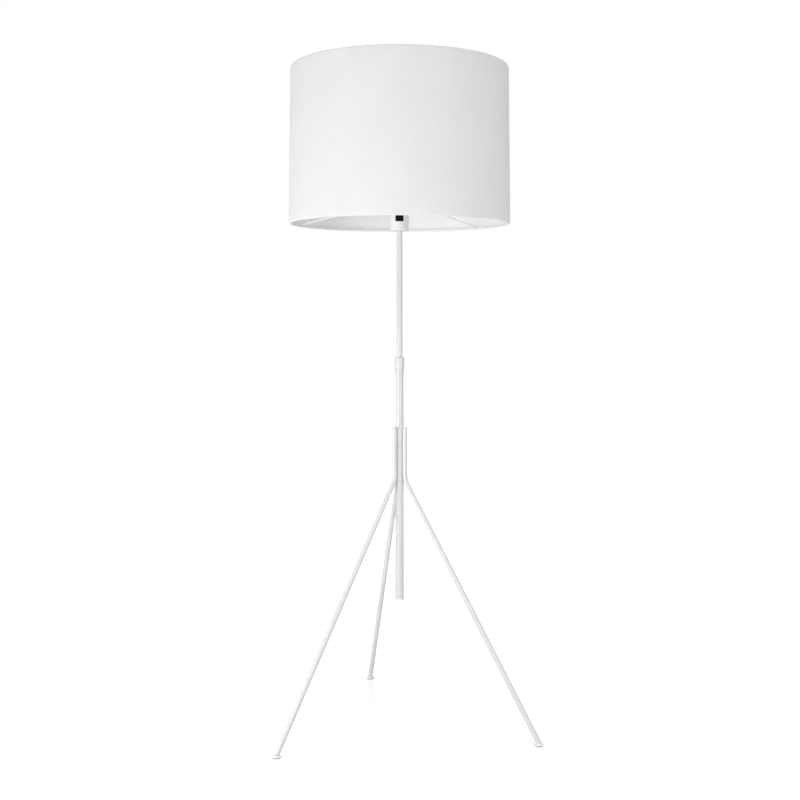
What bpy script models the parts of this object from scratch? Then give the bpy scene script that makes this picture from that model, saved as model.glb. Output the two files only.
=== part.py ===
"""Height-adjustable tripod floor lamp with a drum shade.

A thin pole stands on three bent tube legs. Its upper tube slides in the lower one
and is held by a twist collar. On top sits an E27 lampholder with a rocker switch,
which carries the drum shade on a three-armed wire spider.

Units are metres, +Z is up and -Y is the front, where the rocker switch is. Every
piece is modelled round the pole's own axis and hangs on the empty "lamp", which
puts the middle of the lamp's outline over the origin, with the floor at z = 0.
"""

from math import asin, atan2, cos, hypot, pi, radians, sin, tan

import bmesh
import bpy
from mathutils import Matrix, Vector

# ---------------------------------------------------------------- driving dimensions
GAP = 0.0003  # between two pieces that touch on the real lamp

# Drum shade: a laminated sheet rolled over a wire ring at each rim.
SHADE_BOTTOM_Z = 1.0410
SHADE_HEIGHT = 0.3115
SHADE_BOTTOM_RADIUS = 0.2250
SHADE_TOP_RADIUS = 0.2200
SHADE_SHEET = 0.0008
RIM_WIRE_RADIUS = 0.0015
SHADE_SIDES = 64

# Spider: three wire arms from the bottom ring up to a flat washer.
ARM_AZIMUTHS = (42, 158, 280)
ARM_WIRE_RADIUS = 0.0016
HUB_Z = 1.0818
HUB_THICKNESS = 0.0020
HUB_RADIUS = 0.0300
HUB_HOLE_RADIUS = 0.0212

CHAMFER = 0.0008  # on the moulded plastic edges

# Lampholder, E27.
HOLDER_Z = 1.0280
HOLDER_RADIUS = 0.0188
HOLDER_WALL = 0.0020
HOLDER_FLOOR = 0.0025
HOLDER_FILLET = 0.0020
HOLDER_SPLIT_Z = 1.0665
HOLDER_TOP_Z = 1.1050
SHADE_NUT_RADIUS = 0.0280
SHADE_NUT_HEIGHT = 0.0050
SHELL_LIP_HEIGHT = 0.0016
SHELL_LIP_WIDTH = 0.0014
NIPPLE_BORE = 0.0033
NIPPLE_BELOW = 0.0125  # how far it screws down into the pole
LOCK_NUT_RADIUS = 0.0081  # to its corners
LOCK_NUT_HEIGHT = 0.0040

# Rocker switch in the front of the lampholder. It turns on an upright pin.
ROCKER_WIDTH = 0.0162
ROCKER_HEIGHT = 0.0135
ROCKER_Z = 1.0532  # its middle
ROCKER_PIVOT_Y = -0.0115
ROCKER_TILT = radians(7)  # each way from the middle
ROCKER_HOLLOW = 0.0007  # how deep its face dips in the middle
WINDOW_WIDTH = 0.0176
PIN_RADIUS = 0.0010
CARRIER_WALL = 0.0012
CARRIER_HALF_WIDTH = 0.0084

# Socket inside the lampholder: insulating cup, threaded sleeve, contact, terminals.
CUP_FLOOR_Z = 1.0700
CUP_FLOOR = 0.0030
CUP_TOP_Z = 1.0990
CUP_RADIUS = 0.0156
CUP_BORE = 0.0144
SLEEVE_RADIUS = 0.0141
SLEEVE_BORE = 0.0135
STRIP_WIDTH = 0.0060
STRIP_THICKNESS = 0.0004
TERMINAL_HEIGHT = 0.0075
TERMINAL_HALF_WIDTH = 0.0095
TERMINAL_DEPTH = 0.0100
TERMINAL_MIDDLE_Y = 0.0055
TERMINAL_SPACING = 0.0100
SCREW_RADIUS = 0.0013
SCREW_HEAD_RADIUS = 0.0023
SCREW_DEPTH = 0.0035

# Bulb: A60 with an E27 cap, screwed home.
BULB_TIP_Z = 1.0762
BULB_CAP_RADIUS = 0.0131
BULB_CAP_TOP_Z = 1.1020
BULB_CAP_WALL = 0.0010
BULB_CONTACT_HEIGHT = 0.0016
BULB_NECK_RADIUS = 0.0134
GLOBE_RADIUS = 0.0300
GLOBE_Z = 1.1560
GLOBE_WALL = 0.0010
GLOBE_SEAM_Z = 1.1463

# Telescopic pole.
UPPER_TUBE_RADIUS = 0.0060
UPPER_TUBE_WALL = 0.0010
UPPER_TUBE_BOTTOM_Z = 0.5520
LOWER_TUBE_RADIUS = 0.0086
LOWER_TUBE_WALL = 0.0012
POLE_BOTTOM_Z = 0.2645
LOWER_TUBE_TOP_Z = 0.7630
COLLAR_RADIUS = 0.0096
COLLAR_BOTTOM_Z = 0.7465
COLLAR_TOP_Z = 0.7697
COLLAR_SHOULDER = 0.0014
COLLAR_LIP = 0.0004
SLIDE_FIT = 0.0002  # round the upper tube, in the bush and the collet
BUSH_HEIGHT = 0.0300
BUSH_SHELF = 0.0025
COLLET_SKIRT = 0.0150
EXIT_FLANGE = 0.0040  # the cord's bush covers the lower tube's cut end
EXIT_SPIGOT = 0.0120
EXIT_BORE = 0.0042

# Legs: each a tube that runs down the pole and then bends out to the floor.
LEG_SEATS = {"left": 222, "right": 324, "rear": 103}  # where it stands round the pole
LEG_AZIMUTHS = {"left": 218.9, "right": 335.5, "rear": 103}  # where it points from there
LEG_RADIUS = 0.0050
LEG_WALL = 0.0010
LEG_TOP_Z = 0.6245
LEG_BEND_TOP_Z = 0.5290
LEG_BEND_RADIUS = 0.0480
LEG_BEND_STEPS = 6
LEG_CUT_Z = 0.0042  # the tube's level cut above the floor
LEG_PLUG_LENGTH = 0.0080
LEG_PLUG_DOME = 0.0015
LEG_REACH = 0.2937  # from its upright part to its foot, seen from above
FOOT_RADIUS = 0.0085
FOOT_STEM = 0.0120
PAD_RADIUS = 0.0075
PAD_THICKNESS = 0.0010

# ------------------------------------------------------------------- worked out sizes
SHADE_TOP_Z = SHADE_BOTTOM_Z + SHADE_HEIGHT
RIM_WIRE_INSET = SHADE_SHEET + GAP + RIM_WIRE_RADIUS
BOTTOM_WIRE_Z = SHADE_BOTTOM_Z + RIM_WIRE_INSET
TOP_WIRE_Z = SHADE_TOP_Z - RIM_WIRE_INSET
LOWER_BORE = LOWER_TUBE_RADIUS - LOWER_TUBE_WALL
UPPER_BORE = UPPER_TUBE_RADIUS - UPPER_TUBE_WALL
LEG_BORE = LEG_RADIUS - LEG_WALL
LEG_OFFSET = LOWER_TUBE_RADIUS + GAP + LEG_RADIUS
HOLDER_BORE = HOLDER_RADIUS - HOLDER_WALL
NIPPLE_RADIUS = UPPER_BORE - GAP


def leg_slope():
    """The straight leg's angle from upright: the tangent from the foot to the bend."""
    across = LEG_REACH - LEG_BEND_RADIUS
    down = LEG_BEND_TOP_Z - LEG_CUT_Z
    return atan2(across, down) + asin(LEG_BEND_RADIUS / hypot(across, down))


def leg_ends(side):
    """Where a leg's upright part and its foot stand, seen from above."""
    seat = radians(LEG_SEATS[side])
    turn = radians(LEG_AZIMUTHS[side])
    upright = Vector((cos(seat), sin(seat), 0)) * LEG_OFFSET
    return upright, upright + Vector((cos(turn), sin(turn), 0)) * LEG_REACH


def outline_middle():
    """The middle of the lamp's outline seen from above, measured from the pole."""
    feet = [leg_ends(side)[1] for side in LEG_AZIMUTHS]
    middle = []
    for places in ([foot.x for foot in feet], [foot.y for foot in feet]):
        low = min(min(places) - FOOT_RADIUS, -SHADE_BOTTOM_RADIUS)
        high = max(max(places) + FOOT_RADIUS, SHADE_BOTTOM_RADIUS)
        middle.append((low + high) / 2)
    return middle


# ------------------------------------------------------------------- modelling helpers
def clear_scene():
    for obj in list(bpy.data.objects):
        bpy.data.objects.remove(obj)


def material(name, colour, roughness, metallic=0.0):
    made = bpy.data.materials.new(name)
    made.use_nodes = True
    shader = made.node_tree.nodes["Principled BSDF"]
    shader.inputs["Base Color"].default_value = (*colour, 1.0)
    shader.inputs["Roughness"].default_value = roughness
    shader.inputs["Metallic"].default_value = metallic
    return made


def finished_mesh(bm, name, smooth_below=35):
    """The bmesh as a mesh with its faces out, its round sides smooth and its edges sharp."""
    bmesh.ops.remove_doubles(bm, verts=bm.verts, dist=1e-6)
    bmesh.ops.recalc_face_normals(bm, faces=bm.faces)
    if bm.calc_volume(signed=True) < 0:
        bmesh.ops.reverse_faces(bm, faces=bm.faces)
    mesh = bpy.data.meshes.new(name)
    bm.to_mesh(mesh)
    bm.free()
    mesh.shade_smooth()
    mesh.set_sharp_from_angle(angle=radians(smooth_below))
    return mesh


def place(name, mesh, finish, location=(0, 0, 0), turn=0.0):
    """A named piece under the lamp's empty, turned about its own upright axis."""
    obj = bpy.data.objects.new(name, mesh)
    bpy.context.scene.collection.objects.link(obj)
    obj.parent = bpy.data.objects["lamp"]
    obj.location = location
    obj.rotation_euler = (0, 0, turn)
    if not mesh.materials:
        mesh.materials.append(finish)
    return obj


def turned_mesh(name, profile, sides=32):
    """(radius, z) points turned about Z. They close on themselves, or on the axis."""
    bm = bmesh.new()
    points = [bm.verts.new((radius, 0, z)) for radius, z in profile]
    edges = [bm.edges.new(pair) for pair in zip(points, points[1:])]
    on_axis = profile[0][0] == 0 and profile[-1][0] == 0
    if not on_axis:
        edges.append(bm.edges.new((points[-1], points[0])))
    bmesh.ops.spin(
        bm,
        geom=points + edges,
        cent=(0, 0, 0),
        axis=(0, 0, 1),
        angle=2 * pi,
        steps=sides,
        use_merge=True,
    )
    return finished_mesh(bm, name)


def turned(name, profile, finish, sides=32, location=(0, 0, 0)):
    return place(name, turned_mesh(name, profile, sides), finish, location)


def pipe_profile(inner, outer, bottom, top):
    return [(outer, top), (outer, bottom), (inner, bottom), (inner, top)]


def rounded_corner(centre, radius, start, end, steps=3):
    """Points on an arc in the (radius, z) plane, from one angle in degrees to another."""
    angles = [radians(start + (end - start) * step / steps) for step in range(steps + 1)]
    return [(centre[0] + radius * cos(a), centre[1] + radius * sin(a)) for a in angles]


def prism_mesh(name, outline, low, high, hole_outline=None):
    """An (x, y) outline raised from low to high, with a hole through it if one is given."""
    bm = bmesh.new()
    loops = [outline] + ([hole_outline] if hole_outline else [])
    edges = []
    for loop in loops:
        points = [bm.verts.new((x, y, low)) for x, y in loop]
        edges += [bm.edges.new((a, b)) for a, b in zip(points, points[1:] + points[:1])]
    bmesh.ops.triangle_fill(bm, edges=edges, use_beauty=True)
    raised = bmesh.ops.extrude_face_region(bm, geom=list(bm.faces))
    moved = [item for item in raised["geom"] if isinstance(item, bmesh.types.BMVert)]
    bmesh.ops.translate(bm, verts=moved, vec=(0, 0, high - low))
    return finished_mesh(bm, name)


def circle_outline(radius, sides, centre=(0, 0)):
    angles = [2 * pi * step / sides for step in range(sides)]
    return [(centre[0] + radius * cos(a), centre[1] + radius * sin(a)) for a in angles]


def box_outline(left, right, front, back):
    return [(left, front), (right, front), (right, back), (left, back)]


def ring_points(centre, lean, radius, sides):
    """A circle round a line that lies in the XZ plane and leans out from straight down."""
    inward = Vector((cos(lean), 0, sin(lean)))
    across = Vector((0, 1, 0))
    angles = [2 * pi * step / sides for step in range(sides)]
    return [centre + radius * (cos(a) * inward + sin(a) * across) for a in angles]


def skin_between(bm, ring_a, ring_b):
    """Four-sided faces between two rings with the same number of points."""
    count = len(ring_a)
    for step in range(count):
        after = (step + 1) % count
        bm.faces.new((ring_a[step], ring_a[after], ring_b[after], ring_b[step]))


def cut_helper(name, mesh, location=(0, 0, 0)):
    """A Boolean's cutter: drawn as wire, and left out of the lamp."""
    helper = place(name, mesh, None, location)
    helper.hide_render = True
    helper.display_type = "WIRE"
    return helper


def cut(obj, helper):
    modifier = obj.modifiers.new(helper.name, "BOOLEAN")
    modifier.operation = "DIFFERENCE"
    modifier.solver = "EXACT"
    modifier.object = helper


# ------------------------------------------------------------------------- the shade
def shade_radius(z):
    """The drum's outer radius at a height: it narrows a little towards the top."""
    share = (z - SHADE_BOTTOM_Z) / SHADE_HEIGHT
    return SHADE_BOTTOM_RADIUS + (SHADE_TOP_RADIUS - SHADE_BOTTOM_RADIUS) * share


def rolled_rim(wire_radius, wire_z, up):
    """The sheet's edge rolled round a rim wire, from its outside to its lip and back."""
    bend = RIM_WIRE_RADIUS + GAP + SHADE_SHEET
    inner_bend = RIM_WIRE_RADIUS + GAP
    outside = rounded_corner((wire_radius, wire_z), bend, 0, 180 * up, 4)
    inside = rounded_corner((wire_radius, wire_z), inner_bend, 180 * up, 0, 4)
    return outside + inside


def make_shade(fabric, wire):
    bottom_wire = SHADE_BOTTOM_RADIUS - RIM_WIRE_INSET
    top_wire = SHADE_TOP_RADIUS - RIM_WIRE_INSET
    top_roll = rolled_rim(top_wire, TOP_WIRE_Z, 1)
    bottom_roll = rolled_rim(bottom_wire, BOTTOM_WIRE_Z, -1)
    profile = bottom_roll + top_roll[::-1]
    turned("shade_skin", profile, fabric, SHADE_SIDES)
    for name, radius, z in (
        ("shade_bottom_ring", bottom_wire, BOTTOM_WIRE_Z),
        ("shade_top_ring", top_wire, TOP_WIRE_Z),
    ):
        ring = rounded_corner((radius, z), RIM_WIRE_RADIUS, 0, 288, 4)
        turned(name, ring, wire, SHADE_SIDES)


def make_spider(wire):
    hub_top = HUB_Z + HUB_THICKNESS
    turned("spider_hub", pipe_profile(HUB_HOLE_RADIUS, HUB_RADIUS, HUB_Z, hub_top), wire, 36)
    arm_sides = 10
    level_end = 0.006
    start_z = BOTTOM_WIRE_Z + RIM_WIRE_RADIUS + GAP + ARM_WIRE_RADIUS
    start = Vector((shade_radius(start_z) - SHADE_SHEET - 2 * GAP, 0, start_z))
    end_z = HUB_Z + HUB_THICKNESS / 2
    end = Vector((HUB_RADIUS + GAP, 0, end_z))
    knee = Vector((HUB_RADIUS + level_end, 0, end_z))
    lean = atan2(start.x - knee.x, knee.z - start.z)
    bm = bmesh.new()
    rings = []
    for centre, angle in (
        (start, lean),
        (knee, (lean + pi / 2) / 2),
        (end, pi / 2),
    ):
        points = ring_points(centre, angle, ARM_WIRE_RADIUS, arm_sides)
        rings.append([bm.verts.new(point) for point in points])
    for ring_a, ring_b in zip(rings, rings[1:]):
        skin_between(bm, ring_a, ring_b)
    bm.faces.new(rings[0])
    bm.faces.new(rings[-1])
    mesh = finished_mesh(bm, "spider_arm", 50)
    for number, azimuth in enumerate(ARM_AZIMUTHS, 1):
        place(f"spider_arm_{number}", mesh, wire, turn=radians(azimuth))


def make_shade_nuts(plastic):
    """Two ring nuts on the lampholder's thread, which clamp the spider's washer."""
    bore = HOLDER_RADIUS + GAP
    for name, low in (
        ("shade_nut_lower", HUB_Z - GAP - SHADE_NUT_HEIGHT),
        ("shade_nut_upper", HUB_Z + HUB_THICKNESS + GAP),
    ):
        high = low + SHADE_NUT_HEIGHT
        profile = [
            (bore, high),
            (SHADE_NUT_RADIUS - CHAMFER, high),
            (SHADE_NUT_RADIUS, high - CHAMFER),
            (SHADE_NUT_RADIUS, low + CHAMFER),
            (SHADE_NUT_RADIUS - CHAMFER, low),
            (bore, low),
        ]
        turned(name, profile, plastic, 36)


# ------------------------------------------------------------------- the lampholder
def make_lampholder_body(plastic):
    """The lower cup with its switch window, and the threaded shell above it."""
    fillet = rounded_corner(
        (HOLDER_RADIUS - HOLDER_FILLET, HOLDER_Z + HOLDER_FILLET), HOLDER_FILLET, 0, -90, 4
    )
    floor_top = HOLDER_Z + HOLDER_FLOOR
    cup = [(HOLDER_RADIUS, HOLDER_SPLIT_Z)] + fillet
    cup += [(UPPER_BORE, HOLDER_Z), (UPPER_BORE, floor_top)]
    cup += [(HOLDER_BORE, floor_top), (HOLDER_BORE, HOLDER_SPLIT_Z)]
    base = turned("lampholder_base", cup, plastic, 40)
    half = WINDOW_WIDTH / 2
    rise = ROCKER_HEIGHT / 2 + 0.0004
    past_the_wall = -HOLDER_RADIUS - HOLDER_WALL
    inside = -0.012
    window = prism_mesh(
        "switch_window",
        box_outline(-half, half, past_the_wall, inside),
        ROCKER_Z - rise,
        ROCKER_Z + rise,
    )
    cut(base, cut_helper("switch_window", window))
    shell_bottom = HOLDER_SPLIT_Z + GAP
    lip_bottom = HOLDER_TOP_Z - SHELL_LIP_HEIGHT
    shell = [
        (HOLDER_RADIUS - CHAMFER, HOLDER_TOP_Z),
        (HOLDER_RADIUS, HOLDER_TOP_Z - CHAMFER),
        (HOLDER_RADIUS, shell_bottom),
        (HOLDER_BORE, shell_bottom),
        (HOLDER_BORE, lip_bottom),
        (HOLDER_BORE - SHELL_LIP_WIDTH, lip_bottom),
        (HOLDER_BORE - SHELL_LIP_WIDTH, HOLDER_TOP_Z),
    ]
    turned("lampholder_shell", shell, plastic, 40)


def make_entry(steel):
    """The threaded nipple that joins the lampholder to the pole, and its lock nut."""
    nut_bottom = HOLDER_Z + HOLDER_FLOOR + GAP
    nut_top = nut_bottom + LOCK_NUT_HEIGHT
    low = HOLDER_Z - NIPPLE_BELOW
    high = nut_top + 0.0020
    turned("entry_nipple", pipe_profile(NIPPLE_BORE, NIPPLE_RADIUS, low, high), steel, 24)
    hexagon = circle_outline(LOCK_NUT_RADIUS, 6)
    bore = circle_outline(UPPER_BORE, 24)
    mesh = prism_mesh("lock_nut", hexagon, nut_bottom, nut_top, bore)
    place("lock_nut", mesh, steel)


def make_switch(black, steel):
    """Rocker, upright pivot pin and the carrier that holds the pin's ends."""
    hole = PIN_RADIUS + GAP
    pivot = (0, ROCKER_PIVOT_Y, 0)
    low = ROCKER_Z - ROCKER_HEIGHT / 2
    high = ROCKER_Z + ROCKER_HEIGHT / 2
    front = HOLDER_RADIUS + ROCKER_PIVOT_Y
    half = ROCKER_WIDTH / 2
    corner = 0.0005
    cheek = (0.0060, -0.0018)
    heel = (0.0024, 0.0022)
    outline = [
        (-half, -front + corner),
        (-half + corner, -front),
        (0, -front + ROCKER_HOLLOW),
        (half - corner, -front),
        (half, -front + corner),
        cheek,
        heel,
        (-heel[0], heel[1]),
        (-cheek[0], cheek[1]),
    ]
    mesh = prism_mesh("switch_rocker", outline, low, high, circle_outline(hole, 12))
    place("switch_rocker", mesh, black, pivot, -ROCKER_TILT)
    pin_low = low - CARRIER_WALL
    pin_high = high + CARRIER_WALL
    pin = [(0, pin_high), (PIN_RADIUS, pin_high), (PIN_RADIUS, pin_low), (0, pin_low)]
    turned("switch_pin", pin, steel, 12, pivot)
    side = CARRIER_HALF_WIDTH
    carrier_front = ROCKER_PIVOT_Y - 0.0025
    carrier_back = ROCKER_PIVOT_Y + 0.0068
    outer = box_outline(-side, side, carrier_front, carrier_back)
    mesh = prism_mesh("switch_carrier", outer, pin_low - GAP, pin_high + GAP)
    carrier = place("switch_carrier", mesh, black)
    room_side = side - CARRIER_WALL
    room_front = carrier_front - 0.002
    room = box_outline(-room_side, room_side, room_front, carrier_back - CARRIER_WALL)
    pocket = prism_mesh("carrier_pocket", room, low - GAP, high + GAP)
    cut(carrier, cut_helper("carrier_pocket", pocket))
    through = 0.004
    drill = prism_mesh("pin_drill", circle_outline(hole, 12), low - through, high + through)
    cut(carrier, cut_helper("pin_drill", drill, pivot))


def make_socket(ceramic, brass, steel):
    """The insulating cup, its threaded sleeve, the centre contact and the terminals."""
    inner_floor_z = CUP_FLOOR_Z + CUP_FLOOR
    cup = [(0, inner_floor_z), (CUP_BORE, inner_floor_z), (CUP_BORE, CUP_TOP_Z)]
    cup += [(CUP_RADIUS, CUP_TOP_Z), (CUP_RADIUS, CUP_FLOOR_Z), (0, CUP_FLOOR_Z)]
    turned("socket_core", cup, ceramic, 32)
    sleeve_low = inner_floor_z + 0.0015
    sleeve = pipe_profile(SLEEVE_BORE, SLEEVE_RADIUS, sleeve_low, CUP_TOP_Z - 0.0005)
    turned("thread_sleeve", sleeve, brass, 32)
    make_centre_contact(inner_floor_z + GAP, brass)
    make_terminals(CUP_FLOOR_Z - GAP, ceramic, steel)


def make_centre_contact(low, brass):
    """A bent spring strip: flat on the cup's floor, then up to the middle and over."""
    rise = BULB_TIP_Z - GAP - STRIP_THICKNESS - low
    line = [(-0.0095, 0), (-0.0045, 0), (-0.0015, rise), (0.0025, rise)]
    outline = line + [(x, z + STRIP_THICKNESS) for x, z in reversed(line)]
    mesh = prism_mesh("centre_contact", outline, -STRIP_WIDTH / 2, STRIP_WIDTH / 2)
    mesh.transform(Matrix.Rotation(pi / 2, 4, "X"))
    place("centre_contact", mesh, brass, (0, 0, low))


def make_terminals(top, ceramic, steel):
    """The terminal block under the cup, behind the switch, with two screws from below."""
    low = top - TERMINAL_HEIGHT
    front = TERMINAL_MIDDLE_Y - TERMINAL_DEPTH / 2
    back = TERMINAL_MIDDLE_Y + TERMINAL_DEPTH / 2
    outline = box_outline(-TERMINAL_HALF_WIDTH, TERMINAL_HALF_WIDTH, front, back)
    block = place("terminal_block", prism_mesh("terminal_block", outline, low, top), ceramic)
    drill = circle_outline(SCREW_RADIUS + GAP, 12)
    head_low = low - 0.0015
    tip = low + SCREW_DEPTH
    screw = [(0, tip), (SCREW_RADIUS, tip), (SCREW_RADIUS, low - GAP)]
    screw += [(SCREW_HEAD_RADIUS, low - GAP), (SCREW_HEAD_RADIUS, head_low), (0, head_low)]
    for side, x in (("left", -TERMINAL_SPACING / 2), ("right", TERMINAL_SPACING / 2)):
        spot = (x, TERMINAL_MIDDLE_Y, 0)
        bore = prism_mesh("terminal_drill", drill, low - 0.001, tip + GAP)
        cut(block, cut_helper(f"terminal_drill_{side}", bore, spot))
        turned(f"terminal_screw_{side}", screw, steel, 12, spot)


# ------------------------------------------------------------------------- the bulb
def make_bulb(opal, plastic, nickel, black, brass):
    """An A60 bulb: contact, insulator, cap, body and opal globe, from the bottom up."""
    contact_top = BULB_TIP_Z + BULB_CONTACT_HEIGHT
    contact = [(0, BULB_TIP_Z), (0.0030, BULB_TIP_Z), (0.0042, contact_top), (0, contact_top)]
    turned("bulb_contact", contact, brass, 20)
    cap_bore = BULB_CAP_RADIUS - BULB_CAP_WALL
    inner = cap_bore - GAP
    low = contact_top + GAP
    insulator = [(0, low), (0.0048, low), (inner, low + 0.0040)]
    insulator += [(inner, low + 0.0060), (0, low + 0.0060)]
    turned("bulb_insulator", insulator, black, 32)
    cap = pipe_profile(cap_bore, BULB_CAP_RADIUS, low + 0.0045, BULB_CAP_TOP_Z)
    turned("bulb_cap", cap, nickel, 32)
    neck = BULB_CAP_TOP_Z + GAP
    plug = BULB_CAP_TOP_Z - 0.0060
    body = [(0, plug), (inner, plug), (inner, neck), (BULB_NECK_RADIUS, neck)]
    body += [(BULB_NECK_RADIUS, neck + 0.0040)]
    body += [(0.0160, neck + 0.0130), (0.0215, neck + 0.0280)]
    body += [(0.0270, neck + 0.0400), (globe_radius_at(GLOBE_SEAM_Z), GLOBE_SEAM_Z)]
    body += [(0, GLOBE_SEAM_Z)]
    turned("bulb_body", body, plastic, 32)
    outside = globe_curve(GLOBE_RADIUS)
    inside = globe_curve(GLOBE_RADIUS - GLOBE_WALL)
    turned("bulb_globe", outside[::-1] + inside, opal, 32)


def globe_radius_at(z):
    return (GLOBE_RADIUS**2 - (GLOBE_Z - z) ** 2) ** 0.5


def globe_curve(radius):
    """The globe's curve from its rim, just above the seam, up to the axis."""
    steps = 7
    start = -asin((GLOBE_Z - GLOBE_SEAM_Z - GAP) / radius)
    angles = [start + (pi / 2 - start) * step / steps for step in range(steps)]
    curve = [(radius * cos(a), GLOBE_Z + radius * sin(a)) for a in angles]
    return curve + [(0, GLOBE_Z + radius)]


# ------------------------------------------------------------------------- the pole
def make_pole(paint, plastic):
    """The two tubes, the bush that guides the upper one, and the cord's exit bush."""
    tube_top = HOLDER_Z - GAP
    upper = pipe_profile(UPPER_BORE, UPPER_TUBE_RADIUS, UPPER_TUBE_BOTTOM_Z, tube_top)
    turned("upper_tube", upper, paint, 32)
    flange_top = POLE_BOTTOM_Z + EXIT_FLANGE
    lower = pipe_profile(LOWER_BORE, LOWER_TUBE_RADIUS, flange_top + GAP, LOWER_TUBE_TOP_Z)
    turned("lower_tube", lower, paint, 32)
    bush_radius = LOWER_BORE - GAP
    bush_bore = UPPER_TUBE_RADIUS + SLIDE_FIT
    shelf_bore = UPPER_BORE - CHAMFER
    shelf = UPPER_TUBE_BOTTOM_Z - GAP
    bush = [
        (bush_bore, UPPER_TUBE_BOTTOM_Z + BUSH_HEIGHT),
        (bush_radius, UPPER_TUBE_BOTTOM_Z + BUSH_HEIGHT),
        (bush_radius, shelf - BUSH_SHELF),
        (shelf_bore, shelf - BUSH_SHELF),
        (shelf_bore, shelf),
        (bush_bore, shelf),
    ]
    turned("guide_bush", bush, plastic, 32)
    spigot_top = flange_top + EXIT_SPIGOT
    exit_bush = [
        (EXIT_BORE, spigot_top),
        (bush_radius, spigot_top),
        (bush_radius, flange_top),
        (LOWER_TUBE_RADIUS, flange_top),
        (LOWER_TUBE_RADIUS, POLE_BOTTOM_Z + CHAMFER / 2),
        (LOWER_TUBE_RADIUS - CHAMFER / 2, POLE_BOTTOM_Z),
        (EXIT_BORE + CHAMFER, POLE_BOTTOM_Z),
        (EXIT_BORE, POLE_BOTTOM_Z + CHAMFER),
    ]
    turned("cord_exit_bush", exit_bush, plastic, 32)


def make_collar(paint, plastic):
    """The twist collar round the pole's joint, and the split collet that it tightens."""
    shoulder_centre = (COLLAR_RADIUS - COLLAR_SHOULDER, COLLAR_TOP_Z - COLLAR_SHOULDER)
    shoulder = rounded_corner(shoulder_centre, COLLAR_SHOULDER, 90, 0, 4)
    upper_bore = UPPER_TUBE_RADIUS + 2 * GAP
    lower_bore = LOWER_TUBE_RADIUS + GAP
    step_z = LOWER_TUBE_TOP_Z + 0.0035
    collar = [(upper_bore, COLLAR_TOP_Z)] + shoulder
    collar += [
        (COLLAR_RADIUS, COLLAR_BOTTOM_Z + COLLAR_LIP),
        (COLLAR_RADIUS - COLLAR_LIP, COLLAR_BOTTOM_Z),
        (lower_bore, COLLAR_BOTTOM_Z),
        (lower_bore, step_z),
        (upper_bore, step_z),
    ]
    turned("clamp_collar", collar, paint, 32)
    skirt = LOWER_BORE - GAP
    skirt_low = LOWER_TUBE_TOP_Z - COLLET_SKIRT
    inner = UPPER_TUBE_RADIUS + SLIDE_FIT
    flange_low = LOWER_TUBE_TOP_Z + GAP
    collet_top = step_z - GAP
    collet = [
        (inner, collet_top),
        (LOWER_TUBE_RADIUS - CHAMFER, collet_top),
        (LOWER_TUBE_RADIUS, flange_low),
        (skirt, flange_low),
        (skirt, skirt_low),
        (inner, skirt_low),
    ]
    collet = turned("clamp_collet", collet, plastic, 32)
    half_slit = 0.0006
    past = 0.001
    slit = box_outline(-half_slit, half_slit, inner / 2, COLLAR_RADIUS + past)
    helper = prism_mesh("collet_slit", slit, skirt_low - past, collet_top + past)
    cut(collet, cut_helper("collet_slit", helper))


# ------------------------------------------------------------------------- the legs
def leg_rings():
    """(centre, lean) down the leg's axis, in the XZ plane: upright, bend, straight."""
    slope = leg_slope()
    rings = [(Vector((0, 0, LEG_TOP_Z)), 0.0)]
    for step in range(LEG_BEND_STEPS + 1):
        lean = slope * step / LEG_BEND_STEPS
        x = LEG_BEND_RADIUS * (1 - cos(lean))
        z = LEG_BEND_TOP_Z - LEG_BEND_RADIUS * sin(lean)
        rings.append((Vector((x, 0, z)), lean))
    rings.append((Vector((LEG_REACH, 0, LEG_CUT_Z)), slope))
    return rings


def leg_mesh():
    """A tube along leg_rings, with its lower end cut level."""
    sides = 20
    bm = bmesh.new()
    walls = []
    for radius in (LEG_RADIUS, LEG_BORE):
        rings = []
        for centre, lean in leg_rings():
            rings.append(ring_points(centre, lean, radius, sides))
        slope = leg_slope()
        down = Vector((sin(slope), 0, -cos(slope)))
        rings[-1] = [p + down * ((p.z - LEG_CUT_Z) / cos(slope)) for p in rings[-1]]
        walls.append([[bm.verts.new(point) for point in ring] for ring in rings])
    for wall in walls:
        for ring_a, ring_b in zip(wall, wall[1:]):
            skin_between(bm, ring_a, ring_b)
    for end in (0, -1):
        skin_between(bm, walls[0][end], walls[1][end])
    return finished_mesh(bm, "leg_tube", 40)


def leg_cap_mesh():
    """A push-in plug with a low dome, for the leg's upper end."""
    low = LEG_TOP_Z + GAP
    stem = LEG_BORE - GAP
    tip = LEG_TOP_Z - LEG_PLUG_LENGTH
    profile = [(0, tip), (stem - CHAMFER / 2, tip), (stem, tip + CHAMFER)]
    profile += [(stem, low), (LEG_RADIUS, low)]
    for share in (0.3, 0.6, 0.87):
        radius = LEG_RADIUS * (1 - share**2) ** 0.5
        profile.append((radius, low + LEG_PLUG_DOME * share))
    profile.append((0, low + LEG_PLUG_DOME))
    return turned_mesh("leg_cap", profile, 20)


def foot_mesh():
    """A round glide: a level plate, and a stem that leans with the leg's bore."""
    low = PAD_THICKNESS + GAP
    high = LEG_CUT_Z - GAP
    stem = LEG_BORE - 2 * GAP
    stem_top = high + FOOT_STEM
    profile = [(0, low), (FOOT_RADIUS - CHAMFER, low), (FOOT_RADIUS, low + CHAMFER)]
    profile += [(FOOT_RADIUS, high - CHAMFER), (FOOT_RADIUS - CHAMFER, high), (stem, high)]
    profile += [(stem, stem_top - CHAMFER), (stem - CHAMFER, stem_top), (0, stem_top)]
    mesh = turned_mesh("foot_glide", profile, 20)
    lean = tan(leg_slope())
    for vertex in mesh.vertices:
        vertex.co.x -= max(0.0, vertex.co.z - high) * lean
    return mesh


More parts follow.
